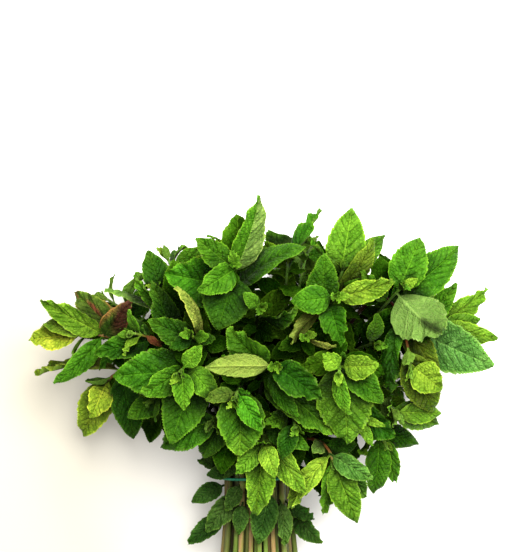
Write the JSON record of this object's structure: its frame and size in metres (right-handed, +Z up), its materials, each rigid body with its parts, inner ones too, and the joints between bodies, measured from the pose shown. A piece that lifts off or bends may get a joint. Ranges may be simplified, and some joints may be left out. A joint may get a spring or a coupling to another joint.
{
  "type": "bunch of mint",
  "caption": "Tied bunch of fresh mint lying down: square stems with crossed pairs of oval, toothed leaves that spread from a thin band into a loose round head.",
  "frame": {"origin": "on the surface that the bunch lies on, under the middle of its bounding box", "axes": "+Z up, off the surface; +Y along the bundle, from the cut ends to the leafy head; +X across the bunch, to the right when it is seen from above with the head away from the viewer"},
  "size_m": [0.2918, 0.3044, 0.1435],
  "materials": {
    "mint": "fresh mint leaf and stem, soft sheen, lighter and yellower at the young tips",
    "band": "thin green rubber band, satin"
  },
  "bodies": {
    "root": {"sprig_low_right": "mint", "sprig_low_right_edge": "mint", "sprig_low_centre": "mint", "sprig_right_front": "mint", "sprig_right_centre": "mint", "sprig_left_drop": "mint", "sprig_far_left_low": "mint", "sprig_centre_low": "mint", "sprig_centre_fan": "mint", "sprig_crown_left": "mint", "sprig_upper_centre": "mint", "sprig_right_arc": "mint", "sprig_right_low": "mint", "sprig_far_left_high": "mint", "sprig_left_shoulder": "mint", "sprig_left_upper": "mint", "sprig_left_rosette": "mint", "sprig_left_mid": "mint", "sprig_left_low": "mint", "sprig_centre_rosette": "mint", "sprig_crown_right": "mint", "sprig_crown_middle": "mint", "sprig_right_upper": "mint", "sprig_far_right": "mint", "sprig_centre_mid": "mint", "sprig_right_shade": "mint", "sprig_low_middle": "mint", "sprig_under_left_high": "mint", "sprig_under_left_top": "mint", "sprig_under_top_left": "mint", "sprig_under_top_right": "mint", "sprig_under_right_top": "mint", "sprig_under_right_high": "mint", "sprig_under_right_low": "mint", "sprig_under_left_low": "mint", "sprig_under_middle_left": "mint", "sprig_under_middle_right": "mint", "band": "band"}
  },
  "joints": []
}
